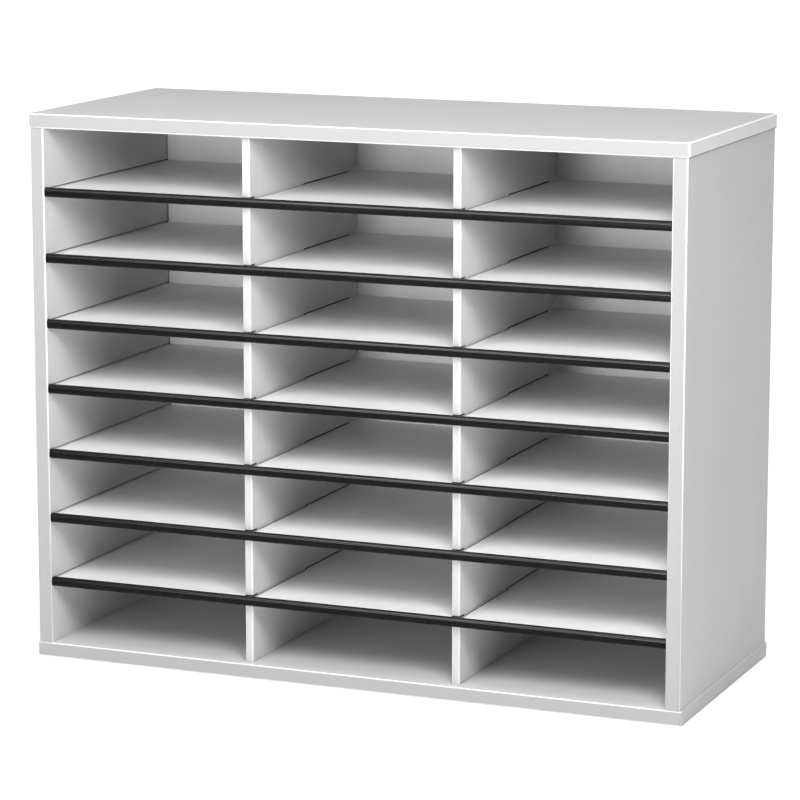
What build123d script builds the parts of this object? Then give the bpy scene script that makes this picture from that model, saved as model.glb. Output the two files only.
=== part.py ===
"""Open-fronted literature organizer, in millimetres.

A laminated case holds shelves and dividers that interlock like an egg crate, and black mouldings cap the
shelves. The origin is under the middle of the case, the front faces -Y, and +Z is up.
"""
import os

from build123d import *

# Compartments: clear width of a column, clear height of a row, depth of the whole case
COLUMNS = 3
ROWS = 8
COLUMN_WIDTH = 228.0
ROW_HEIGHT = 65.6
CASE_DEPTH = 301.6

# Case boards, and the plastic bands that cover their edges
PANEL = 15.9
EDGE_BAND = 2.0
EDGE_ROUND = 1.9
CORNER_ROUND = 3.0

# Back board, nailed into a rebate of the four case boards
BACK = 3.2
BACK_RECESS = 3.1
BACK_GAP = 0.5
REBATE_WIDTH = 8.0

# Shelves, whose ends lie in grooves of the sides
SHELF = 5.5
GROOVE_DEPTH = 5.0
SHELF_END_GAP = 1.0
SHELF_TOP_GAP = 1.3
SHELF_FRONT_GAP = 0.3
SHELF_REAR_GAP = 0.5

# Dividers, with rear slots for the shelves and ends that stand in shallow seats
DIVIDER = 9.0
DIVIDER_ROUND = 2.0
DIVIDER_SEAT = 3.0
DIVIDER_SEAT_GAP = 0.5
DIVIDER_FRONT_GAP = 0.8
SLOT_SIDE_GAP = 1.2
SLOT_END_GAP = 0.5
MOUTH_DEPTH = 20.0
MOUTH_RISE = 7.0

# Channel mouldings, pressed over the front edges of the shelves
MOULDING_WEB = 1.6
MOULDING_HEIGHT = 10.4
MOULDING_ROUND = 3.6
MOULDING_SHOULDER = 4.0
MOULDING_LIP = 0.8
MOULDING_LIP_DEPTH = 9.0
MOULDING_GRIP = 0.4
MOULDING_BARB = 1.2
MOULDING_WEB_GAP = 0.2
MOULDING_END_GAP = 0.3
BARB_GAP = 0.05

# Fluted wood dowels between the top and the sides
DOWEL_RADIUS = 4.0
DOWEL_FLUTES = 12
DOWEL_LENGTH = 30.0
DOWEL_IN_PANEL = 10.0
DOWEL_CHAMFER = 1.0
DOWEL_INSET = 45.0
DOWEL_GAP = 0.05
DOWEL_END_GAP = 1.0

# Countersunk screws, up through the bottom into the sides
SCREW_RADIUS = 2.5
SCREW_HEAD_RADIUS = 4.75
SCREW_LENGTH = 48.0
SCREW_RECESS = 0.5
SCREW_INSET = 45.0
SCREW_GAP = 0.05

# Square-shanked nails of the back: two to each column, and one to every second row on the sides
NAIL_SHANK = 1.4
NAIL_HEAD_RADIUS = 2.2
NAIL_HEAD_SIDES = 8
NAIL_HEAD = 0.6
NAIL_LENGTH = 16.0
NAIL_GAP = 0.05
NAIL_ROW_STEP = 2

# Widths and heights that follow
INNER_WIDTH = COLUMNS * COLUMN_WIDTH + (COLUMNS - 1) * DIVIDER
BODY_WIDTH = INNER_WIDTH + 2 * PANEL
CASE_WIDTH = BODY_WIDTH + 2 * EDGE_BAND
INNER_HEIGHT = ROWS * ROW_HEIGHT + (ROWS - 1) * SHELF
CASE_HEIGHT = INNER_HEIGHT + 2 * PANEL
FLOOR = PANEL
CEILING = CASE_HEIGHT - PANEL
SIDE_MIDDLE = INNER_WIDTH / 2 + PANEL / 2

# Planes from front to rear that follow
FRONT = -CASE_DEPTH / 2
REAR = CASE_DEPTH / 2
CORE_FRONT = FRONT + EDGE_BAND
BACK_REAR = REAR - BACK_RECESS
BACK_FRONT = BACK_REAR - BACK
SHELF_FRONT = CORE_FRONT + SHELF_FRONT_GAP
SHELF_REAR = BACK_FRONT - SHELF_REAR_GAP
MOULDING_FRONT = SHELF_FRONT - MOULDING_WEB_GAP - MOULDING_WEB
LIP_END = MOULDING_FRONT + MOULDING_LIP_DEPTH
DIVIDER_FRONT = LIP_END + DIVIDER_FRONT_GAP
SLOT_MEETING = (SHELF_FRONT + SHELF_REAR) / 2

# Places of the repeated pieces
ROW_STEP = ROW_HEIGHT + SHELF
SHELF_LEVELS = [FLOOR + row * ROW_STEP - SHELF / 2 for row in range(1, ROWS)]
COLUMN_STEP = COLUMN_WIDTH + DIVIDER
DIVIDER_PLACES = [(gap - COLUMNS / 2) * COLUMN_STEP for gap in range(1, COLUMNS)]
COLUMN_MIDDLES = [(column - (COLUMNS - 1) / 2) * COLUMN_STEP for column in range(COLUMNS)]
ROW_MIDDLES = [FLOOR + row * ROW_STEP + ROW_HEIGHT / 2 for row in range(ROWS)]


def block(x, y, z):
    """Solid box between the low and high values given for each axis."""
    size = Box(x[1] - x[0], y[1] - y[0], z[1] - z[0], align=(Align.MIN, Align.MIN, Align.MIN))
    return Pos(x[0], y[0], z[0]) * size


def along_x(profile, length):
    """Profile drawn in Y and Z, extruded the same way to both sides of the middle."""
    return extrude(Plane.YZ * profile, length / 2, both=True)


def dowel():
    """Fluted wood dowel with chamfered ends, standing on its lower end."""
    rod = extrude(RegularPolygon(DOWEL_RADIUS, DOWEL_FLUTES), DOWEL_LENGTH)
    ends = [edge for face in rod.faces().filter_by(Axis.Z) for edge in face.edges()]
    return chamfer(ends, DOWEL_CHAMFER)


def dowel_hole():
    """Bore for a dowel, with room for glue at both ends."""
    bore = Cylinder(
        DOWEL_RADIUS + DOWEL_GAP,
        DOWEL_LENGTH + 2 * DOWEL_END_GAP,
        align=(Align.CENTER, Align.CENTER, Align.MIN),
    )
    return Pos(0, 0, -DOWEL_END_GAP) * bore


def screw_form(room, sink):
    """Countersunk screw about Z, grown by some room, whose head flares on to a depth below the origin."""
    shank = SCREW_RADIUS + room
    head = SCREW_HEAD_RADIUS + room
    outline = Polyline(
        (0, -sink),
        (head + sink, -sink),
        (shank, head - shank),
        (shank, SCREW_LENGTH - SCREW_RADIUS + room),
        (0, SCREW_LENGTH + 2 * room),
        close=True,
    )
    return revolve(make_face(Plane.XZ * outline), Axis.Z)


def screw():
    """Screw with the flat of its head at the origin, pointing up."""
    return screw_form(0, 0)


def screw_hole():
    """Bore for a screw, countersunk down to the underside of the bottom board."""
    return screw_form(SCREW_GAP, SCREW_RECESS)


def nail_shank(room):
    """Square shank of a nail along Y, from the rear face of the back towards the front."""
    side = NAIL_SHANK + 2 * room
    return extrude(Plane.XZ * Rectangle(side, side), NAIL_LENGTH + room)


def nail():
    """Nail with a flat head behind the back board."""
    head = extrude(Plane.XZ * RegularPolygon(NAIL_HEAD_RADIUS, NAIL_HEAD_SIDES), -NAIL_HEAD)
    return nail_shank(0) + head


def corner_places(height, inset):
    """Four places in the middle of the sides, at one height, set in from the front and the rear."""
    return [Pos(x, y, height) for x in (-SIDE_MIDDLE, SIDE_MIDDLE) for y in (FRONT + inset, REAR - inset)]


DOWELS = corner_places(CEILING + DOWEL_IN_PANEL - DOWEL_LENGTH, DOWEL_INSET)
SCREWS = corner_places(SCREW_RECESS, SCREW_INSET)


def nail_places():
    """Nails along the middle of the rebate, clear of the grooves in the case boards."""
    across = INNER_WIDTH / 2 + REBATE_WIDTH / 2
    levels = (FLOOR - REBATE_WIDTH / 2, CEILING + REBATE_WIDTH / 2)
    places = []
    for middle in COLUMN_MIDDLES:
        for x in (middle - COLUMN_WIDTH / 4, middle + COLUMN_WIDTH / 4):
            places += [Pos(x, BACK_REAR, z) for z in levels]
    for z in ROW_MIDDLES[::NAIL_ROW_STEP]:
        places += [Pos(x, BACK_REAR, z) for x in (-across, across)]
    return places


NAILS = nail_places()
BORES = [
    *[place * dowel_hole() for place in DOWELS],
    *[place * screw_hole() for place in SCREWS],
    *[place * nail_shank(NAIL_GAP) for place in NAILS],
]


def back_rebate():
    """Room for the back board in the rear edges of the case boards."""
    half = INNER_WIDTH / 2 + REBATE_WIDTH
    return block((-half, half), (BACK_FRONT, REAR), (FLOOR - REBATE_WIDTH, CEILING + REBATE_WIDTH))


def divider_seats():
    """Shallow seats for the ends of the dividers, stopped behind the front edge."""
    half = DIVIDER / 2 + DIVIDER_SEAT_GAP
    depth = (DIVIDER_FRONT - DIVIDER_SEAT_GAP, BACK_FRONT)
    heights = (FLOOR - DIVIDER_SEAT, CEILING + DIVIDER_SEAT)
    return [block((x - half, x + half), depth, heights) for x in DIVIDER_PLACES]


def banded_board(underside):
    """Blank of a lying board with its bands on, its front corners rounded in plan and its edges eased."""
    plan = Rectangle(CASE_WIDTH, CASE_DEPTH)
    plan = fillet(plan.vertices().group_by(Axis.Y)[0], CORNER_ROUND)
    blank = extrude(Pos(0, 0, underside) * plan, PANEL)
    rims = [edge for face in blank.faces().filter_by(Axis.Z) for edge in face.edges()]
    return fillet([edge for edge in rims if edge.center().Y < REAR], EDGE_ROUND)


def lying_panel(underside):
    """Core and three edge bands of the board that lies over or under the sides."""
    heights = (underside, underside + PANEL)
    blank = banded_board(underside)
    half = BODY_WIDTH / 2
    core = block((-half, half), (CORE_FRONT, REAR), heights)
    core -= [back_rebate(), *divider_seats(), *BORES]
    front_band = blank & block((-CASE_WIDTH, CASE_WIDTH), (FRONT, CORE_FRONT), heights)
    left_band = blank & block((-CASE_WIDTH, -half), (CORE_FRONT, REAR), heights)
    right_band = blank & block((half, CASE_WIDTH), (CORE_FRONT, REAR), heights)
    return core, [front_band, left_band, right_band]


def right_side():
    """Core and front band of the right side, with a groove for each shelf."""
    inner = INNER_WIDTH / 2
    width = (inner, inner + PANEL)
    heights = (FLOOR, CEILING)
    blank = block(width, (FRONT, REAR), heights)
    upright = [edge for edge in blank.edges().filter_by(Axis.Z) if edge.center().Y < REAR]
    blank = fillet(upright, EDGE_ROUND)
    core = block(width, (CORE_FRONT, REAR), heights)
    core -= back_rebate()
    for level in SHELF_LEVELS:
        opening = (level - SHELF / 2, level + SHELF / 2 + SHELF_TOP_GAP)
        core -= block((inner, inner + GROOVE_DEPTH), (CORE_FRONT, BACK_FRONT), opening)
    core -= BORES
    return core, blank & block(width, (FRONT, CORE_FRONT), heights)


def back_panel():
    """Hardboard back, with a hole for each nail."""
    half = INNER_WIDTH / 2 + REBATE_WIDTH - BACK_GAP
    heights = (FLOOR - REBATE_WIDTH + BACK_GAP, CEILING + REBATE_WIDTH - BACK_GAP)
    return block((-half, half), (BACK_FRONT, BACK_REAR), heights) - BORES


def divider():
    """Full-height divider with rounded front edges and rear slots that flare at the mouth."""
    heights = (FLOOR - DIVIDER_SEAT, CEILING + DIVIDER_SEAT - DIVIDER_SEAT_GAP)
    board = block((-DIVIDER / 2, DIVIDER / 2), (DIVIDER_FRONT, SHELF_REAR), heights)
    upright = [edge for edge in board.edges().filter_by(Axis.Z) if edge.center().Y < SLOT_MEETING]
    board = fillet(upright, DIVIDER_ROUND)
    inner_end = SLOT_MEETING - SLOT_END_GAP
    neck = SHELF_REAR - MOUTH_DEPTH
    for level in SHELF_LEVELS:
        low = level - SHELF / 2
        high = level + SHELF / 2 + SHELF_TOP_GAP
        slot = Polyline(
            (inner_end, low),
            (neck, low),
            (SHELF_REAR, low - MOUTH_RISE),
            (SHELF_REAR, high + MOUTH_RISE),
            (neck, high),
            (inner_end, high),
            close=True,
        )
        board -= along_x(make_face(slot), DIVIDER)
    return board


def shelf(level):
    """Shelf across all columns, slotted from its front edge for the dividers."""
    half = INNER_WIDTH / 2 + GROOVE_DEPTH - SHELF_END_GAP
    heights = (level - SHELF / 2, level + SHELF / 2)
    board = block((-half, half), (SHELF_FRONT, SHELF_REAR), heights)
    slot = DIVIDER / 2 + SLOT_SIDE_GAP
    for x in DIVIDER_PLACES:
        board -= block((x - slot, x + slot), (SHELF_FRONT, SLOT_MEETING + SLOT_END_GAP), heights)
    return board


def moulding_profile():
    """Channel section about the middle of the shelf, with a round nose, lips that taper back and inner barbs."""
    mouth = SHELF + 2 * MOULDING_GRIP
    top = MOULDING_HEIGHT / 2
    lip_top = mouth / 2 + MOULDING_LIP
    shoulder = MOULDING_FRONT + MOULDING_SHOULDER
    nose = make_face(Polyline(
        (MOULDING_FRONT, -top),
        (shoulder, -top),
        (LIP_END, -lip_top),
        (LIP_END, lip_top),
        (shoulder, top),
        (MOULDING_FRONT, top),
        close=True,
    ))
    nose = fillet(nose.vertices().group_by(Axis.X)[0], MOULDING_ROUND)
    web_rear = MOULDING_FRONT + MOULDING_WEB
    channel = Pos(web_rear, 0) * Rectangle(
        MOULDING_LIP_DEPTH - MOULDING_WEB, mouth, align=(Align.MIN, Align.CENTER)
    )
    tip = SHELF / 2 + BARB_GAP
    upper_barb = make_face(Polyline(
        (LIP_END - 2 * MOULDING_BARB, mouth / 2),
        (LIP_END - 2 * MOULDING_BARB, tip),
        (LIP_END - MOULDING_BARB, mouth / 2),
        close=True,
    ))
    return nose - channel + upper_barb + mirror(upper_barb, about=Plane.XZ)


def moulding(level):
    """Black channel moulding on the shelf at the given level, between the two sides."""
    return Pos(0, 0, level) * along_x(moulding_profile(), INNER_WIDTH - 2 * MOULDING_END_GAP)


def save(name, *solids):
    """Write one named piece, or one group of like pieces."""
    shape = solids[0] if len(solids) == 1 else Compound(children=list(solids))
    shape.label = name
    export_step(shape, f"parts/{name}.step")


os.makedirs("parts", exist_ok=True)

top_core, top_bands = lying_panel(CEILING)
bottom_core, bottom_bands = lying_panel(0)
save("top_panel", top_core)
save("top_edge_bands", *top_bands)
save("bottom_panel", bottom_core)
save("bottom_edge_bands", *bottom_bands)

side_core, side_band = right_side()
save("right_side_panel", side_core)
save("right_side_edge_band", side_band)
save("left_side_panel", mirror(side_core, about=Plane.YZ))
save("left_side_edge_band", mirror(side_band, about=Plane.YZ))
save("back_panel", back_panel())

for number, x in enumerate(DIVIDER_PLACES, start=1):
    save(f"divider_{number}", Pos(x, 0, 0) * divider())

for number, level in enumerate(SHELF_LEVELS, start=1):
    save(f"shelf_{number}", shelf(level))
    save(f"shelf_moulding_{number}", moulding(level))

save("top_dowels", *[place * dowel() for place in DOWELS])
save("bottom_screws", *[place * screw() for place in SCREWS])
save("back_panel_nails", *[place * nail() for place in NAILS])
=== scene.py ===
"""Looks of an open-fronted literature organizer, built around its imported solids, in metres.

The front faces -Y, +Z is up, and the origin lies under the middle of the case.
"""
import math

import bpy
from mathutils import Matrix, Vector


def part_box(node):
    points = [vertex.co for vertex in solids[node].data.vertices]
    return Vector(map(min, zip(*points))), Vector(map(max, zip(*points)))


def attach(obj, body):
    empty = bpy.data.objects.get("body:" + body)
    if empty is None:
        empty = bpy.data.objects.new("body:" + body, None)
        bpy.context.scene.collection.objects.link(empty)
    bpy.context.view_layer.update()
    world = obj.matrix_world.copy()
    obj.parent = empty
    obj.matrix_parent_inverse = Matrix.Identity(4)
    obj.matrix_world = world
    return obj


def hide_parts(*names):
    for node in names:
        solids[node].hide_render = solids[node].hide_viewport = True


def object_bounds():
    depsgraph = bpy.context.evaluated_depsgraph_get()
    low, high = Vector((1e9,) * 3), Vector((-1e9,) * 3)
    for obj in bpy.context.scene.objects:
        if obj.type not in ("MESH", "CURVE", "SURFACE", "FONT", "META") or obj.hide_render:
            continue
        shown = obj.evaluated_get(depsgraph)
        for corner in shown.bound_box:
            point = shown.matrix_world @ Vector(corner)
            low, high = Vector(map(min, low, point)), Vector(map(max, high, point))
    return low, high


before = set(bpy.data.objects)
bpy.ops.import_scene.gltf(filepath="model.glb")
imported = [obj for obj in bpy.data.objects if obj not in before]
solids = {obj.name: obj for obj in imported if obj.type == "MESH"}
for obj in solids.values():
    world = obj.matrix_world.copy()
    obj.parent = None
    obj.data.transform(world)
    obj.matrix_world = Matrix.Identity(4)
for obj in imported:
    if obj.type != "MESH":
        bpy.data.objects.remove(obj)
cad_low, cad_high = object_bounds()


# Bottom board: particle board faced with pale grey laminate, paler on the inner face. It lies under both
# sides. Whatever is cut into it, such as its rear edge and the rebate for the back, shows bare chips, and
# a thin line of glue shows along its bands.
LAMINATE_PALE = (0.515, 0.515, 0.520, 1)
LAMINATE_DEEP = (0.480, 0.480, 0.485, 1)
LAMINATE_SKIN = 0.00005
LAMINATE_ROUGH = (0.46, 0.58)
LAMINATE_SHEEN = 0.3
FLECK_SCALE = 900
FLECK_SHARE = 0.55
FLECK_HEIGHT = 0.22
CLOUD_SCALE = 6
CLOUD_SHARE = 0.45
NOISE_LOW = 0.3
NOISE_HIGH = 0.7
BOTTOM_LINING = (0.60, 0.60, 0.604, 1)
CHIP_COLOURS = (
    (0.0, (0.23, 0.15, 0.085, 1)),
    (0.5, (0.36, 0.25, 0.15, 1)),
    (1.0, (0.50, 0.37, 0.24, 1)),
)
CHIP_SCALE = 700
CHIP_STRETCH = (0.4, 1, 1)
CHIP_HEIGHT = 0.35
CHIP_DULLER = 0.35
# Painted shade for the grooves and other cut faces on the lined half of a side.
GROOVE_SHADE = (0.085, 0.08, 0.075, 1)
GLUE_COLOUR = (0.33, 0.31, 0.29, 1)
GLUE_LINE = 0.00015
BOARD_RELIEF = (0.5, 0.0003)
X_AXIS, Z_AXIS = 0, 2


def start_finish(name):
    """New material: itself, its node tree and its surface shader."""
    finish = bpy.data.materials.new(name)
    finish.use_nodes = True
    return finish, finish.node_tree, finish.node_tree.nodes["Principled BSDF"]


def put(tree, kind, inputs=None, **settings):
    """Adds a node, makes its settings, and gives each named input a value or a link."""
    node = tree.nodes.new(kind)
    for key, value in settings.items():
        setattr(node, key, value)
    for key, value in (inputs or {}).items():
        wire(tree, node.inputs[key], value)
    return node


def wire(tree, socket, value):
    """Links a node's output to a socket, or sets the socket to a plain value."""
    if isinstance(value, bpy.types.NodeSocket):
        tree.links.new(value, socket)
    else:
        socket.default_value = value


def own_place(tree):
    """Place on the piece itself."""
    return put(tree, "ShaderNodeTexCoord").outputs["Object"]


def split(tree, vector):
    """The three parts of a place or a direction, by the names of the axes."""
    return put(tree, "ShaderNodeSeparateXYZ", {"Vector": vector}).outputs


def sums(tree, operation, *terms):
    """Result of one arithmetic step."""
    return put(tree, "ShaderNodeMath", dict(enumerate(terms)), operation=operation).outputs[0]


def weighed(tree, first, first_share, second, second_share):
    """Sum of two numbers, each times its share."""
    return sums(
        tree,
        "ADD",
        sums(tree, "MULTIPLY", first, first_share),
        sums(tree, "MULTIPLY", second, second_share),
    )


def grain(tree, place, scale, detail=2.0, stretch=(1, 1, 1)):
    """Cloudy noise from 0 to 1, with features of about one metre over scale."""
    spread = put(tree, "ShaderNodeMapping", {"Vector": place, "Scale": stretch})
    settings = {"Vector": spread.outputs[0], "Scale": scale, "Detail": detail}
    return put(tree, "ShaderNodeTexNoise", settings).outputs["Fac"]


def tones(tree, factor, *stops):
    """Colour ramp through the given stops."""
    ramp = put(tree, "ShaderNodeValToRGB", {"Fac": factor})
    ramp.color_ramp.elements[0].position, ramp.color_ramp.elements[0].color = stops[0]
    ramp.color_ramp.elements[1].position, ramp.color_ramp.elements[1].color = stops[-1]
    for position, colour in stops[1:-1]:
        ramp.color_ramp.elements.new(position).color = colour
    return ramp.outputs["Color"]


def mottle(tree, noise, deep, pale):
    """Colour that follows a noise from a deep to a pale tone."""
    return tones(tree, noise, (NOISE_LOW, deep), (NOISE_HIGH, pale))


def choose(tree, share, without, full):
    """Colour that goes from one to the other with the share."""
    mix = put(tree, "ShaderNodeMix", {"Factor": share}, data_type="RGBA")
    wire(tree, mix.inputs[6], without)
    wire(tree, mix.inputs[7], full)
    return mix.outputs[2]


def between(tree, share, low, high):
    """Number that goes from low to high with a share from 0 to 1."""
    return put(tree, "ShaderNodeMapRange", {"Value": share, "To Min": low, "To Max": high}).outputs[0]


def relief(tree, shader, height, strength, distance):
    """Fine surface relief on a shader."""
    bump = put(tree, "ShaderNodeBump", {"Height": height, "Strength": strength, "Distance": distance})
    tree.links.new(bump.outputs[0], shader.inputs["Normal"])


def laminated_board(name, broad_axis, node, lining=None):
    """Laminate on the broad faces of a board, bare chips wherever it is cut, and a glue line at its bands.

    A lining is the colour of the face that looks into the case, where it isn't that of the outer face. The
    grooves and other cut faces in the lined half of a side are painted dark as shade.
    """
    finish, tree, shader = start_finish(name)
    low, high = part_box(node)
    is_side = broad_axis == X_AXIS
    place = own_place(tree)
    axes = split(tree, place)
    across = sums(tree, "ABSOLUTE", axes["X"])
    through = across if is_side else axes["Z"]
    middle = abs(low[broad_axis] + high[broad_axis]) / 2
    half = (high[broad_axis] - low[broad_axis]) / 2
    from_middle = sums(tree, "ABSOLUTE", sums(tree, "SUBTRACT", through, middle))
    skin = sums(tree, "GREATER_THAN", from_middle, half - LAMINATE_SKIN)

    fleck = grain(tree, place, FLECK_SCALE)
    cloud = grain(tree, place, CLOUD_SCALE)
    noise = weighed(tree, fleck, FLECK_SHARE, cloud, CLOUD_SHARE)
    paper = mottle(tree, noise, LAMINATE_DEEP, LAMINATE_PALE)
    inner = sums(tree, "LESS_THAN" if is_side else "GREATER_THAN", through, middle)
    if lining:
        paper = choose(tree, inner, paper, lining)
    glue = sums(tree, "LESS_THAN", axes["Y"], low.y + GLUE_LINE)
    if not is_side:
        ends = sums(tree, "GREATER_THAN", across, high.x - GLUE_LINE)
        glue = sums(tree, "MAXIMUM", glue, ends)
    paper = choose(tree, glue, paper, GLUE_COLOUR)

    flakes = put(tree, "ShaderNodeMapping", {"Vector": place, "Scale": CHIP_STRETCH}).outputs[0]
    chips = put(tree, "ShaderNodeTexVoronoi", {"Vector": flakes, "Scale": CHIP_SCALE, "Randomness": 1})
    pick = put(tree, "ShaderNodeSeparateColor", {"Color": chips.outputs["Color"]}).outputs[0]
    wood = tones(tree, pick, *CHIP_COLOURS)
    # Cut faces on the lined half of a side, the grooves above all, are painted dark as shade.
    if lining and is_side:
        wood = choose(tree, inner, wood, GROOVE_SHADE)
    tree.links.new(choose(tree, skin, wood, paper), shader.inputs["Base Color"])
    gloss = between(tree, fleck, *LAMINATE_ROUGH)
    dull = between(tree, skin, CHIP_DULLER, 0.0)
    tree.links.new(sums(tree, "ADD", gloss, dull), shader.inputs["Roughness"])
    shader.inputs["Specular IOR Level"].default_value = LAMINATE_SHEEN
    pits = sums(tree, "MULTIPLY", chips.outputs["Distance"], between(tree, skin, CHIP_HEIGHT, 0.0))
    pebble = sums(tree, "MULTIPLY", fleck, sums(tree, "MULTIPLY", skin, FLECK_HEIGHT))
    relief(tree, shader, sums(tree, "ADD", pits, pebble), *BOARD_RELIEF)
    return finish


def dress(finish, *nodes):
    """Puts a finish on solids of the frame."""
    for node in nodes:
        solids[node].data.materials[0] = finish


dress(laminated_board("bottom_laminate", Z_AXIS, "bottom_panel", lining=BOTTOM_LINING), "bottom_panel")


# Edge bands of the bottom board: strips of solid-coloured plastic, glued on the front and both ends, which
# are painted paler as the light that falls on them. Their edges are scraped round, and a paler colour on
# the rounds is a painted highlight, a thin line of light.
BAND_PALE = (0.330, 0.330, 0.334, 1)
BAND_DEEP = (0.308, 0.308, 0.312, 1)
# Paler colour on the rounded edges of the bands: a painted highlight.
BAND_ROUND_HIGHLIGHT = (0.62, 0.62, 0.624, 1)
BAND_ROUGH = (0.36, 0.46)
BAND_SHEEN = 0.3
BAND_RELIEF = (0.12, 0.0002)
# The bottom board's ends are painted paler as light, and their rounds carry a faint painted highlight.
BOTTOM_END_PAINTED_LIGHT = (0.46, 0.46, 0.464, 1)
BOTTOM_END_HIGHLIGHT = (0.50, 0.50, 0.504, 1)
EMBOSS_SCALE = 1100
EMBOSS_DETAIL = 3.0
# Where a surface counts as a round, and the heights over which the painted highlight on upright rounds
# fades in.
ROUND_FROM = 0.95
HIGHLIGHT_FADE_LOW = 0.10
HIGHLIGHT_FADE_HIGH = 0.40
LEVEL_FROM = 0.3


def surface_way(tree):
    """Way that the surface faces."""
    return split(tree, put(tree, "ShaderNodeNewGeometry").outputs["Normal"])


def plastic_band(name, end_painted_light, end_highlight, joint_shade):
    """Smooth satin plastic with a faint embossed grain, and a painted highlight on its rounded edges.

    The ends of a board are painted paler, as light, with their own colours also in the joint below them,
    where the top's band is painted dark as shade. The painted highlight on upright edges fades out towards
    the bottom.
    """
    finish, tree, shader = start_finish(name)
    place = own_place(tree)
    emboss = grain(tree, place, EMBOSS_SCALE, EMBOSS_DETAIL)
    plain = mottle(tree, emboss, BAND_DEEP, BAND_PALE)
    facing = surface_way(tree)
    x_way, y_way, z_way = [sums(tree, "ABSOLUTE", facing[axis]) for axis in "XYZ"]
    straight = sums(tree, "MAXIMUM", x_way, sums(tree, "MAXIMUM", y_way, z_way))
    # Painted highlight on the rounds: full on level ones, fading out towards the bottom on upright ones.
    highlit_rounds = sums(tree, "LESS_THAN", straight, ROUND_FROM)
    reach = {"Value": split(tree, place)["Z"], "From Min": HIGHLIGHT_FADE_LOW, "From Max": HIGHLIGHT_FADE_HIGH}
    highlight_fade = put(tree, "ShaderNodeMapRange", reach).outputs[0]
    level = sums(tree, "GREATER_THAN", z_way, LEVEL_FROM)
    highlit_rounds = sums(tree, "MULTIPLY", highlit_rounds, sums(tree, "MAXIMUM", level, highlight_fade))
    # Band ends are painted paler, as the light that falls on them.
    endwise = sums(tree, "GREATER_THAN", x_way, y_way)
    plain = choose(tree, endwise, plain, end_painted_light)
    round_light_and_shade = choose(tree, endwise, BAND_ROUND_HIGHLIGHT, end_highlight)
    # The joint below a board's ends gets its own colour, painted shade under the top's ends.
    below = sums(tree, "MULTIPLY", endwise, sums(tree, "LESS_THAN", facing["Z"], -LEVEL_FROM))
    round_light_and_shade = choose(tree, below, round_light_and_shade, joint_shade)
    tree.links.new(choose(tree, highlit_rounds, plain, round_light_and_shade), shader.inputs["Base Color"])
    tree.links.new(between(tree, emboss, *BAND_ROUGH), shader.inputs["Roughness"])
    shader.inputs["Specular IOR Level"].default_value = BAND_SHEEN
    relief(tree, shader, emboss, *BAND_RELIEF)
    return finish


dress(plastic_band("bottom_band_plastic", BOTTOM_END_PAINTED_LIGHT, BOTTOM_END_HIGHLIGHT, BOTTOM_END_PAINTED_LIGHT), "bottom_edge_bands")


# Side boards: the same laminated board, standing on the bottom one, each with a band on its front edge
# only. The inner face is white, and seven grooves across it take the ends of the shelves. Their band is
# also the top's, whose ends are painted paler still as the light that falls on them, with painted shade in
# the joint below them.
LINING_WHITE = (0.67, 0.67, 0.674, 1)
# Paler ends and brighter rounds of the top's bands are painted light.
END_PAINTED_LIGHT = (0.60, 0.60, 0.604, 1)
END_HIGHLIGHT = (0.88, 0.88, 0.884, 1)
# Painted shade in the joint below the top's ends.
JOINT_SHADE = (0.07, 0.07, 0.071, 1)

side_finish = laminated_board("side_laminate", X_AXIS, "right_side_panel", lining=LINING_WHITE)
dress(side_finish, "left_side_panel", "right_side_panel")
band_finish = plastic_band("edge_band_plastic", END_PAINTED_LIGHT, END_HIGHLIGHT, JOINT_SHADE)
dress(band_finish, "left_side_edge_band", "right_side_edge_band")


# Screws: two under each side, driven up through the bottom board. They are of zinc-plated steel, with a
# flat countersunk head, a pressed cross recess and a rolled thread.
SCREW_SIDES = 32
SCREW_HEAD = 0.00475
SCREW_NECK = 0.0024
SCREW_CORE = 0.0017
SCREW_TIP = 0.0002
SCREW_RINGS = (
    (SCREW_HEAD, 0.0),
    (SCREW_NECK, 0.0023),
    (SCREW_CORE, 0.0031),
    (SCREW_CORE, 0.0440),
    (SCREW_TIP, 0.0480),
)
RECESS_SIZE = (0.0050, 0.0011, 0.0036)
THREAD_SIDES = 3
THREAD_RISE = 0.00085
THREAD_PLACE = 0.0016
THREAD_START = 0.0055
THREAD_PITCH = 0.0022
THREAD_TURNS = 17
THREAD_STEPS = 20
QUARTER_TURN = math.pi / 2
SMOOTH_UNDER = math.radians(35)
ZINC_COLOURS = ((0.3, (0.52, 0.53, 0.55, 1)), (0.7, (0.68, 0.69, 0.70, 1)))
ZINC_SCALE = 1500
ZINC_DETAIL = 3.0
ZINC_ROUGH = (0.28, 0.48)
ZINC_RELIEF = (0.1, 0.0001)


def turned(name, sides, rings):
    """Round piece about Z, raised from a disc ring by ring. Each ring is a radius and a height."""
    radius, height = rings[0]
    start = (0, 0, height)
    bpy.ops.object.select_all(action="DESELECT")
    bpy.ops.mesh.primitive_circle_add(vertices=sides, radius=radius, fill_type="NGON", location=start)
    piece = bpy.context.object
    piece.name = name
    bpy.ops.object.transform_apply(location=True, rotation=True, scale=True)
    bpy.ops.object.mode_set(mode="EDIT")
    bpy.ops.mesh.select_all(action="SELECT")
    for wider, higher in rings[1:]:
        bpy.ops.mesh.extrude_region_move(TRANSFORM_OT_translate={"value": (0, 0, higher - height)})
        bpy.ops.transform.resize(value=(wider / radius, wider / radius, 1), center_override=(0, 0, higher))
        radius, height = wider, higher
    bpy.ops.mesh.select_all(action="SELECT")
    bpy.ops.mesh.normals_make_consistent(inside=False)
    bpy.ops.object.mode_set(mode="OBJECT")
    return piece


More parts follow.
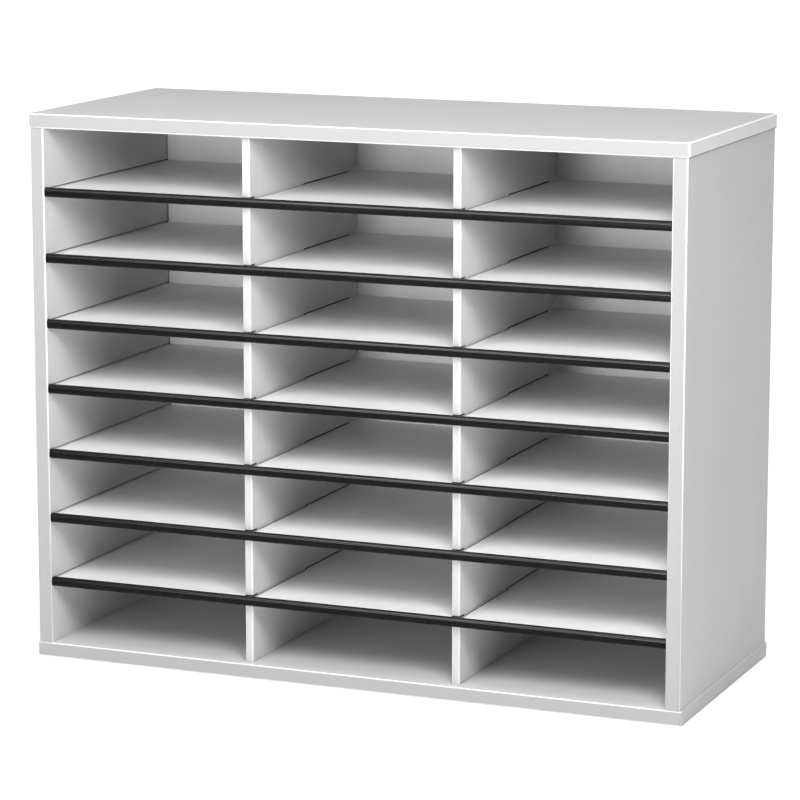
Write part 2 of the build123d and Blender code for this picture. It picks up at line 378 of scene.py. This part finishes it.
def cut_away(piece, tool):
    """Takes the form of a tool out of a piece. The tool goes."""
    carve = piece.modifiers.new("carve", "BOOLEAN")
    carve.solver = "EXACT"
    carve.use_self = True
    carve.object = tool
    bpy.context.view_layer.objects.active = piece
    bpy.ops.object.modifier_apply(modifier=carve.name)
    bpy.data.objects.remove(tool)


def cross_tool():
    """Two crossed bars that press the recess into a screw head."""
    bpy.ops.object.select_all(action="DESELECT")
    bpy.ops.mesh.primitive_cube_add(size=1, location=(0, 0, 0))
    tool = bpy.context.object
    bpy.ops.object.mode_set(mode="EDIT")
    bpy.ops.mesh.select_all(action="SELECT")
    bpy.ops.transform.resize(value=RECESS_SIZE, center_override=(0, 0, 0))
    bpy.ops.mesh.duplicate()
    bpy.ops.transform.rotate(value=QUARTER_TURN, orient_axis="Z", center_override=(0, 0, 0))
    bpy.ops.object.mode_set(mode="OBJECT")
    return tool


def rolled_thread():
    """Three-sided ridge that winds up a screw."""
    bpy.ops.object.select_all(action="DESELECT")
    bpy.ops.mesh.primitive_circle_add(
        vertices=THREAD_SIDES,
        radius=THREAD_RISE,
        location=(THREAD_PLACE, 0, THREAD_START),
        rotation=(QUARTER_TURN, QUARTER_TURN, 0),
    )
    ridge = bpy.context.object
    bpy.ops.object.transform_apply(location=True, rotation=True, scale=True)
    wind = ridge.modifiers.new("wind", "SCREW")
    wind.screw_offset = THREAD_PITCH
    wind.iterations = THREAD_TURNS
    wind.steps = THREAD_STEPS
    wind.render_steps = THREAD_STEPS
    bpy.ops.object.modifier_apply(modifier=wind.name)
    bpy.ops.object.mode_set(mode="EDIT")
    bpy.ops.mesh.select_all(action="SELECT")
    bpy.ops.mesh.fill_holes(sides=THREAD_SIDES)
    bpy.ops.mesh.select_all(action="SELECT")
    bpy.ops.mesh.normals_make_consistent(inside=False)
    bpy.ops.object.mode_set(mode="OBJECT")
    return ridge


def smooth_and_join(piece, *others):
    """Smooths the round faces of a piece after joining others to it."""
    bpy.ops.object.select_all(action="DESELECT")
    for part in (piece, *others):
        part.select_set(True)
    bpy.context.view_layer.objects.active = piece
    if others:
        bpy.ops.object.join()
    bpy.ops.object.shade_smooth_by_angle(angle=SMOOTH_UNDER)


def set_out(pattern, places, finish, node):
    """Copies of a pattern piece at the given places, in the stead of a node's solids. The pattern goes."""
    pattern.data.materials.clear()
    pattern.data.materials.append(finish)
    for number, place in enumerate(places, start=1):
        bpy.ops.object.select_all(action="DESELECT")
        pattern.select_set(True)
        bpy.context.view_layer.objects.active = pattern
        bpy.ops.object.duplicate()
        copy = bpy.context.object
        copy.name = f"{pattern.name}_{number}"
        copy.location = place
        bpy.ops.object.transform_apply(location=True, rotation=True, scale=True)
        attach(copy, "root")
        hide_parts(node)
    bpy.data.objects.remove(pattern)


def corners(node, radius):
    """Four places at the lower end of upright round pieces that fill the corners of a node's box."""
    low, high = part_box(node)
    columns = (low.x + radius, high.x - radius)
    rows = (low.y + radius, high.y - radius)
    return [(x, y, low.z) for x in columns for y in rows]


def zinc_steel():
    """Zinc-plated steel with a fine crystal bloom."""
    finish, tree, shader = start_finish("zinc_steel")
    bloom = grain(tree, own_place(tree), ZINC_SCALE, ZINC_DETAIL)
    tree.links.new(tones(tree, bloom, *ZINC_COLOURS), shader.inputs["Base Color"])
    tree.links.new(between(tree, bloom, *ZINC_ROUGH), shader.inputs["Roughness"])
    shader.inputs["Metallic"].default_value = 1.0
    relief(tree, shader, bloom, *ZINC_RELIEF)
    return finish


zinc_finish = zinc_steel()
screw = turned("screw", SCREW_SIDES, SCREW_RINGS)
cut_away(screw, cross_tool())
smooth_and_join(screw, rolled_thread())
set_out(screw, corners("bottom_screws", SCREW_HEAD), zinc_finish, "bottom_screws")


# Dividers: two full-height boards of doubled fibreboard under a white paper liner, folded at the front so
# that the nose is rounded. Rear slots straddle the shelves, and each slot flares at its mouth. A thin dark
# band is painted on the front as shade where it stands over each shelf.
LINER_PALE = (0.70, 0.70, 0.703, 1)
LINER_DEEP = (0.66, 0.66, 0.663, 1)
LINER_ROUGH = (0.45, 0.60)
LINER_RELIEF = (0.15, 0.0002)
# Faces that look straight to the front are painted this grey as shade.
FRONT_SHADE_GREY = (0.44, 0.44, 0.443, 1)
KRAFT_COLOURS = ((0.2, (0.055, 0.038, 0.025, 1)), (0.8, (0.17, 0.115, 0.07, 1)))
# Dark kraft colour, used for painted shade in the slot gaps of the shelves.
GAP_SHADE = KRAFT_COLOURS[0][1]
FLUTE_PITCH = 0.0073
FLUTE_HEIGHT = 0.25
PULP_SCALE = 700
PULP_DETAIL = 4.0
PULP_HEIGHT = 0.3
STREAK_SCALE = 500
STREAK_DETAIL = 3.0
STREAK_SHARE = 0.7
PATCH_SCALE = 14
PATCH_SHARE = 0.3
UPRIGHT_STREAKS = (1, 1, 0.04)
FACES_FRONT = -0.9
FACES_PAST_FRONT = -0.3
FACES_DOWN = -0.5
FACES_BROAD = 0.5
# Thin dark band painted as shade across the front of a divider, just above each shelf.
FOOT_SHADE = (0.02, 0.02, 0.02, 1)
FOOT_RISE = 0.0041
FOOT_HALF = 0.0009
FOOT_DEPTH = 0.012


def paper_liner(name, pale, deep, broad, streak_way, under=None, gap_shade_and_sheen=None, feet=None):
    """Coated paper over fluted board, with a faint washboard, streaks along the flutes and soft fibres.

    Faces that look straight to the front are painted grey as shade. Brown core shows at the cut edges,
    which are those that face neither along the broad axis nor to the front. The underside may have its own
    colour.

    A board that others are pushed over has painted shade along them, for the gaps beside them: how far out
    each such strip lies, where its front and rear parts end, and the half width of the two. A board that
    stands over others has a painted band of shade at its feet: the lowest level, the step between levels,
    the foot's height above them, its half height, and where it ends to the rear.
    """
    finish, tree, shader = start_finish(name)
    place = own_place(tree)
    axes = split(tree, place)
    turn = sums(tree, "MULTIPLY", axes["Y"], 2 * math.pi / FLUTE_PITCH)
    washboard = between(tree, sums(tree, "COSINE", turn), 0.0, 1.0)
    pulp = grain(tree, place, PULP_SCALE, PULP_DETAIL)
    patch = grain(tree, place, PATCH_SCALE)
    streak = grain(tree, place, STREAK_SCALE, STREAK_DETAIL, stretch=streak_way)
    paper = mottle(tree, weighed(tree, streak, STREAK_SHARE, patch, PATCH_SHARE), deep, pale)
    facing = surface_way(tree)
    paper = choose(tree, sums(tree, "LESS_THAN", facing["Y"], FACES_FRONT), paper, FRONT_SHADE_GREY)
    if under:
        paper = choose(tree, sums(tree, "LESS_THAN", facing["Z"], FACES_DOWN), paper, under)
    # Painted shade along the slot gaps beside the dividers.
    if gap_shade_and_sheen:
        out, front_end, rear_end, front_half, rear_half = gap_shade_and_sheen
        aside = sums(tree, "SUBTRACT", sums(tree, "ABSOLUTE", axes["X"]), out)
        half = between(tree, sums(tree, "LESS_THAN", axes["Y"], front_end), rear_half, front_half)
        reached = sums(tree, "LESS_THAN", axes["Y"], rear_end)
        strip = sums(tree, "MULTIPLY", sums(tree, "COMPARE", aside, 0.0, half), reached)
        paper = choose(tree, strip, paper, GAP_SHADE)
    # Painted shade at the feet of a divider, just above each shelf.
    if feet:
        lowest, step, rise, half, rear_end = feet
        above = sums(tree, "SUBTRACT", axes["Z"], lowest)
        from_level = sums(tree, "WRAP", above, step / 2, -step / 2)
        over_lowest = sums(tree, "GREATER_THAN", above, 0.0)
        reached = sums(tree, "MULTIPLY", over_lowest, sums(tree, "LESS_THAN", axes["Y"], rear_end))
        foot = sums(tree, "MULTIPLY", sums(tree, "COMPARE", from_level, rise, half), reached)
        paper = choose(tree, foot, paper, FOOT_SHADE)
    edgewise = sums(tree, "LESS_THAN", sums(tree, "ABSOLUTE", facing[broad]), FACES_BROAD)
    cut = sums(tree, "MULTIPLY", edgewise, sums(tree, "GREATER_THAN", facing["Y"], FACES_PAST_FRONT))
    core = tones(tree, washboard, *KRAFT_COLOURS)
    tree.links.new(choose(tree, cut, paper, core), shader.inputs["Base Color"])
    tree.links.new(between(tree, pulp, *LINER_ROUGH), shader.inputs["Roughness"])
    relief(tree, shader, weighed(tree, washboard, FLUTE_HEIGHT, pulp, PULP_HEIGHT), *LINER_RELIEF)
    return finish


first_low, first_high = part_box("shelf_1")
second_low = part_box("shelf_2")[0]
divider_low, divider_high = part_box("divider_2")
shaded_feet = (
    (first_low.z + first_high.z) / 2,
    second_low.z - first_low.z,
    FOOT_RISE,
    FOOT_HALF,
    divider_low.y + FOOT_DEPTH,
)
divider_finish = paper_liner(
    "divider_liner", LINER_PALE, LINER_DEEP, "X", UPRIGHT_STREAKS, feet=shaded_feet
)
dress(divider_finish, "divider_1", "divider_2")


# Shelves: seven boards of the same fibreboard, one across all three columns at each level, white above and
# plain grey below. Front slots take the dividers, and the ends lie in the grooves of the sides. A dark
# strip is painted on each shelf along each divider as the shade in the gap of its slot, a little wider than
# the gap at the front.
SHELF_PALE = (0.91, 0.91, 0.913, 1)
SHELF_DEEP = (0.86, 0.86, 0.863, 1)
SHELF_UNDER = (0.66, 0.655, 0.645, 1)
LEVEL_STREAKS = (0.04, 1, 1)
SLOT_GAP = 0.0012
# How far the painted gap shade reaches past the slot gap at the front.
SHADE_MARGIN = 0.0008
MOUTH_DEPTH = 0.020

shelf_nodes = sorted(node for node in solids if node.startswith("shelf_") and "moulding" not in node)
divider_half = (divider_high.x - divider_low.x) / 2
slot_gap_shade = (
    divider_low.x + divider_half,
    (first_low.y + first_high.y) / 2,
    first_high.y - MOUTH_DEPTH,
    divider_half + SLOT_GAP + SHADE_MARGIN,
    divider_half,
)
shelf_finish = paper_liner(
    "shelf_liner", SHELF_PALE, SHELF_DEEP, "Z", LEVEL_STREAKS, under=SHELF_UNDER, gap_shade_and_sheen=slot_gap_shade
)
dress(shelf_finish, *shelf_nodes)


# Mouldings: black plastic channels, extruded and pressed over the front edges of the shelves. The nose is
# rounded, and two lips that taper to the rear grip the board.
MOULDING_BLACK = (0.003, 0.003, 0.0035, 1)
MOULDING_GREY = (0.006, 0.006, 0.0065, 1)
MOULDING_ROUGH = (0.15, 0.23)
MOULDING_RELIEF = (0.2, 0.0001)
DRAWN_SCALE = 2600
DRAWN_WAY = (0.004, 1, 1)
HAZE_SCALE = 90
RUBBED_FROM = 0.07
SHEEN_PLAIN = 0.15
SHEEN_RUBBED = 0.48


def extruded_plastic():
    """Satin black plastic with fine lines along the way it was drawn, rubbed bright on its upper round."""
    finish, tree, shader = start_finish("moulding_plastic")
    place = own_place(tree)
    gap_shade_and_sheen = sums(tree, "GREATER_THAN", surface_way(tree)["Z"], RUBBED_FROM)
    drawn = grain(tree, place, DRAWN_SCALE, stretch=DRAWN_WAY)
    haze = grain(tree, place, HAZE_SCALE)
    tree.links.new(mottle(tree, haze, MOULDING_BLACK, MOULDING_GREY), shader.inputs["Base Color"])
    tree.links.new(between(tree, drawn, *MOULDING_ROUGH), shader.inputs["Roughness"])
    tree.links.new(between(tree, gap_shade_and_sheen, SHEEN_PLAIN, SHEEN_RUBBED), shader.inputs["Specular IOR Level"])
    relief(tree, shader, drawn, *MOULDING_RELIEF)
    return finish


moulding_nodes = sorted(node for node in solids if "moulding" in node)
dress(extruded_plastic(), *moulding_nodes)


# Dowels: two in the upper end of each side, of fluted beech, glued half into the side and half into the
# top. They are cut from a milled rod and chamfered at both ends.
DOWEL_SIDES = 48
DOWEL_RADIUS = 0.004
DOWEL_LENGTH = 0.030
DOWEL_END = 0.003
DOWEL_CHAMFER = 0.001
FLUTES = 12
FLUTE_SIDES = 10
FLUTE_RADIUS = 0.0005
FLUTE_PLACE = 0.0041
BEECH_COLOURS = ((0.25, (0.40, 0.25, 0.13, 1)), (0.75, (0.62, 0.44, 0.27, 1)))
BEECH_SCALE = 1400
BEECH_DETAIL = 4.0
BEECH_WAY = (1, 1, 0.06)
BEECH_ROUGH = (0.55, 0.7)
BEECH_RELIEF = (0.2, 0.0001)


def flute_tool():
    """Ring of thin rods that cut the flutes."""
    bpy.ops.object.select_all(action="DESELECT")
    bpy.ops.mesh.primitive_cylinder_add(
        vertices=FLUTE_SIDES,
        radius=FLUTE_RADIUS,
        depth=2 * DOWEL_LENGTH,
        location=(FLUTE_PLACE, 0, DOWEL_LENGTH / 2),
    )
    tool = bpy.context.object
    bpy.ops.object.transform_apply(location=True, rotation=True, scale=True)
    bpy.ops.object.mode_set(mode="EDIT")
    bpy.ops.mesh.select_all(action="SELECT")
    sweep = 2 * math.pi * (FLUTES - 1) / FLUTES
    bpy.ops.mesh.spin(steps=FLUTES - 1, dupli=True, angle=sweep, center=(0, 0, 0), axis=(0, 0, 1))
    bpy.ops.object.mode_set(mode="OBJECT")
    return tool


def beech():
    """Plain beech with its grain along the rod."""
    finish, tree, shader = start_finish("beech")
    lines = grain(tree, own_place(tree), BEECH_SCALE, BEECH_DETAIL, stretch=BEECH_WAY)
    tree.links.new(tones(tree, lines, *BEECH_COLOURS), shader.inputs["Base Color"])
    tree.links.new(between(tree, lines, *BEECH_ROUGH), shader.inputs["Roughness"])
    relief(tree, shader, lines, *BEECH_RELIEF)
    return finish


dowel_rings = (
    (DOWEL_END, 0.0),
    (DOWEL_RADIUS, DOWEL_CHAMFER),
    (DOWEL_RADIUS, DOWEL_LENGTH - DOWEL_CHAMFER),
    (DOWEL_END, DOWEL_LENGTH),
)
dowel = turned("dowel", DOWEL_SIDES, dowel_rings)
cut_away(dowel, flute_tool())
smooth_and_join(dowel)
set_out(dowel, corners("top_dowels", DOWEL_RADIUS), beech(), "top_dowels")


# Top board: particle board with the same grey laminate above and below, laid over both sides on four
# dowels. Its front and both ends have bands of the same plastic as the sides.
dress(laminated_board("top_laminate", Z_AXIS, "top_panel"), "top_panel")
dress(band_finish, "top_edge_bands")


# Back: thin hardboard in the rebate of the four case boards. Its inner face is painted white, with painted
# shade in the corners beside the sides, and its outer face keeps the mesh print of the press.
PAINT_PALE = (0.94, 0.94, 0.943, 1)
PAINT_DEEP = (0.91, 0.91, 0.913, 1)
PAINT_SCALE = 12
PAINT_ROUGH = 0.5
CORNER_SHADE = (0.06, 0.06, 0.06, 1)
CORNER_GAP = 0.0009
FIBRE_DEEP = (0.15, 0.085, 0.045, 1)
FIBRE_PALE = (0.27, 0.165, 0.09, 1)
FIBRE_SCALE = 500
FIBRE_DETAIL = 5.0
FIBRE_ROUGH = 0.75
MESH_PITCH = 0.0016
HARDBOARD_RELIEF = (0.3, 0.0002)
FACES_INWARD = -0.5


def pressed_hardboard():
    """Painted inner face with painted shade in the corners at the sides, and a brown outer face with a fine
    mesh print.
    """
    finish, tree, shader = start_finish("hardboard")
    place = own_place(tree)
    axes = split(tree, place)
    painted = sums(tree, "LESS_THAN", surface_way(tree)["Y"], FACES_INWARD)
    fibre = grain(tree, place, FIBRE_SCALE, FIBRE_DETAIL)
    paint = mottle(tree, grain(tree, place, PAINT_SCALE), PAINT_DEEP, PAINT_PALE)
    side_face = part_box("right_side_panel")[0].x
    corner = sums(tree, "GREATER_THAN", sums(tree, "ABSOLUTE", axes["X"]), side_face - CORNER_GAP)
    # Painted shade in the corners beside the sides.
    paint = choose(tree, corner, paint, CORNER_SHADE)
    brown = mottle(tree, fibre, FIBRE_DEEP, FIBRE_PALE)
    tree.links.new(choose(tree, painted, brown, paint), shader.inputs["Base Color"])
    tree.links.new(between(tree, painted, FIBRE_ROUGH, PAINT_ROUGH), shader.inputs["Roughness"])
    turns = [sums(tree, "MULTIPLY", axes[axis], 2 * math.pi / MESH_PITCH) for axis in "XZ"]
    waves = [sums(tree, "COSINE", turn) for turn in turns]
    print_mesh = sums(tree, "MULTIPLY", sums(tree, "MAXIMUM", *waves), sums(tree, "SUBTRACT", 1.0, painted))
    relief(tree, shader, sums(tree, "ADD", print_mesh, fibre), *HARDBOARD_RELIEF)
    return finish


dress(pressed_hardboard(), "back_panel")


# Nails: twenty small ones of zinc-plated wire hold the back in its rebate, two to each column along the
# top and the bottom and four up each side. The flat heads lie on the back.
NAIL_SIDES = 20
NAIL_POINT = 0.0001
NAIL_SHANK = 0.0007
NAIL_HEAD = 0.0022
NAIL_THICK = 0.0006
NAIL_RINGS = (
    (NAIL_POINT, -0.0160),
    (NAIL_SHANK, -0.0138),
    (NAIL_SHANK, 0.0),
    (0.0020, 0.0),
    (NAIL_HEAD, 0.0002),
    (0.0021, 0.0004),
    (0.0017, NAIL_THICK),
)
NAIL_ACROSS = (-0.294, -0.180, -0.057, 0.057, 0.180, 0.294)
NAIL_HEIGHTS = (0.0487, 0.1909, 0.3331, 0.4753)

nail = turned("nail", NAIL_SIDES, NAIL_RINGS)
nail.rotation_euler = (-QUARTER_TURN, 0, 0)
bpy.ops.object.transform_apply(location=True, rotation=True, scale=True)
smooth_and_join(nail)
nails_low, nails_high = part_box("back_panel_nails")
back_face = nails_high.y - NAIL_THICK
nail_rows = (nails_low.z + NAIL_HEAD, nails_high.z - NAIL_HEAD)
nail_columns = (nails_low.x + NAIL_HEAD, nails_high.x - NAIL_HEAD)
nail_places = [(x, back_face, z) for x in NAIL_ACROSS for z in nail_rows]
nail_places += [(x, back_face, z) for x in nail_columns for z in NAIL_HEIGHTS]
set_out(nail, nail_places, zinc_finish, "back_panel_nails")


# Floor: a wide sheet of pale matt paper around the case. It is open under the case and clear from below,
# so that the underside can be seen.
FLOOR_SIZE = 28.0
FLOOR_UNDER = 0.0025
FLOOR_WHITE = (0.93, 0.93, 0.93, 1)
FLOOR_ROUGH = 0.9

bpy.ops.object.select_all(action="DESELECT")
bpy.ops.mesh.primitive_plane_add(size=1, location=(0, 0, 0))
floor = bpy.context.object
floor.name = "floor"
open_wide = cad_high.x - cad_low.x - 2 * FLOOR_UNDER
open_deep = cad_high.y - cad_low.y - 2 * FLOOR_UNDER
outward = (FLOOR_SIZE / open_wide, FLOOR_SIZE / open_deep, 1)
bpy.ops.object.mode_set(mode="EDIT")
bpy.ops.mesh.select_all(action="SELECT")
bpy.ops.transform.resize(value=(open_wide, open_deep, 1), center_override=(0, 0, 0))
bpy.ops.mesh.duplicate()
bpy.ops.transform.resize(value=outward, center_override=(0, 0, 0))
bpy.ops.mesh.select_all(action="SELECT")
bpy.ops.mesh.delete(type="ONLY_FACE")
bpy.ops.mesh.select_all(action="SELECT")
bpy.ops.mesh.bridge_edge_loops()
bpy.ops.mesh.flip_normals()
bpy.ops.object.mode_set(mode="OBJECT")
floor_finish, floor_tree, floor_shader = start_finish("floor_paper")
floor_shader.inputs["Base Color"].default_value = FLOOR_WHITE
floor_shader.inputs["Roughness"].default_value = FLOOR_ROUGH
below = put(floor_tree, "ShaderNodeNewGeometry").outputs["Backfacing"]
clear = put(floor_tree, "ShaderNodeBsdfTransparent").outputs[0]
veil = put(floor_tree, "ShaderNodeMixShader", {0: below, 1: floor_shader.outputs[0], 2: clear})
floor_tree.links.new(veil.outputs[0], floor_tree.nodes["Material Output"].inputs["Surface"])
floor.data.materials.append(floor_finish)


# Light: a wide ceiling of soft light that falls straight down, with a second one behind for the backdrop,
# three near boxes in front and above, two low boxes that reach into the compartments, and a weak one below
# for the underside.
ROOM_WHITE = (1, 1, 1, 1)
ROOM_STRENGTH = 0.10
CEILING_PLACE = (0, 3, 6)
CEILING_SIZE = 20.0
CEILING_POWER = 735
CEILING_SPREAD = math.radians(60)
BACKDROP_PLACE = (0, 8.5, 6)
BACKDROP_SIZE = 14.0
BACKDROP_POWER = 500
BOXES = (
    ("key_right", (0.85, -1.1, 1.09), 0.6, 14.2),
    ("key_middle", (-0.2, -1.0, 1.0), 0.6, 3.5),
    ("key_left", (-0.55, -0.9, 1.1), 0.6, 3.2),
    ("front", (-0.3, -3.3, 0.50), 0.6, 28),
    ("left", (-1.25, -3.1, 0.65), 0.9, 11),
)
UNDER_PLACE = (0, 0, -1.5)
UNDER_SIZE = 0.6
UNDER_POWER = 1.2
UNDER_SPREAD = math.radians(60)


def soft_light(name, place, size, power):
    """Square soft box that looks at the middle of the case."""
    data = bpy.data.lights.new(name, "AREA")
    data.size = size
    data.energy = power
    lamp = bpy.data.objects.new(name, data)
    lamp.location = place
    aim = (cad_low + cad_high) / 2 - lamp.location
    lamp.rotation_euler = aim.to_track_quat("-Z", "Y").to_euler()
    lamp.visible_camera = False
    bpy.context.scene.collection.objects.link(lamp)
    return lamp


for box in BOXES:
    soft_light(*box)
ceiling = soft_light("ceiling", CEILING_PLACE, CEILING_SIZE, CEILING_POWER)
backdrop = soft_light("backdrop", BACKDROP_PLACE, BACKDROP_SIZE, BACKDROP_POWER)
for lamp in (ceiling, backdrop):
    lamp.rotation_euler = (0, 0, 0)
    lamp.data.spread = CEILING_SPREAD
soft_light("under", UNDER_PLACE, UNDER_SIZE, UNDER_POWER).data.spread = UNDER_SPREAD
room = bpy.data.worlds.new("room")
room.use_nodes = True
room.node_tree.nodes["Background"].inputs["Color"].default_value = ROOM_WHITE
room.node_tree.nodes["Background"].inputs["Strength"].default_value = ROOM_STRENGTH
bpy.context.scene.world = room
bpy.context.scene.view_settings.view_transform = "Standard"
bpy.context.scene.view_settings.look = "Medium High Contrast"


# Camera: a long lens that looks at the case from the right and a little above, level from side to side. It
# has no shift, so that the case stays in the middle of other views.
CAMERA_PLACE = (1.38747, -3.35202, 0.97073)
CAMERA_TILT = math.radians(79.292)
CAMERA_TURN = math.radians(22.521)
CAMERA_LENS = 153.85

lens = bpy.data.cameras.new("camera")
lens.lens = CAMERA_LENS
camera = bpy.data.objects.new("camera", lens)
camera.location = CAMERA_PLACE
camera.rotation_euler = (CAMERA_TILT, 0, CAMERA_TURN)
bpy.context.scene.collection.objects.link(camera)
bpy.context.scene.camera = camera
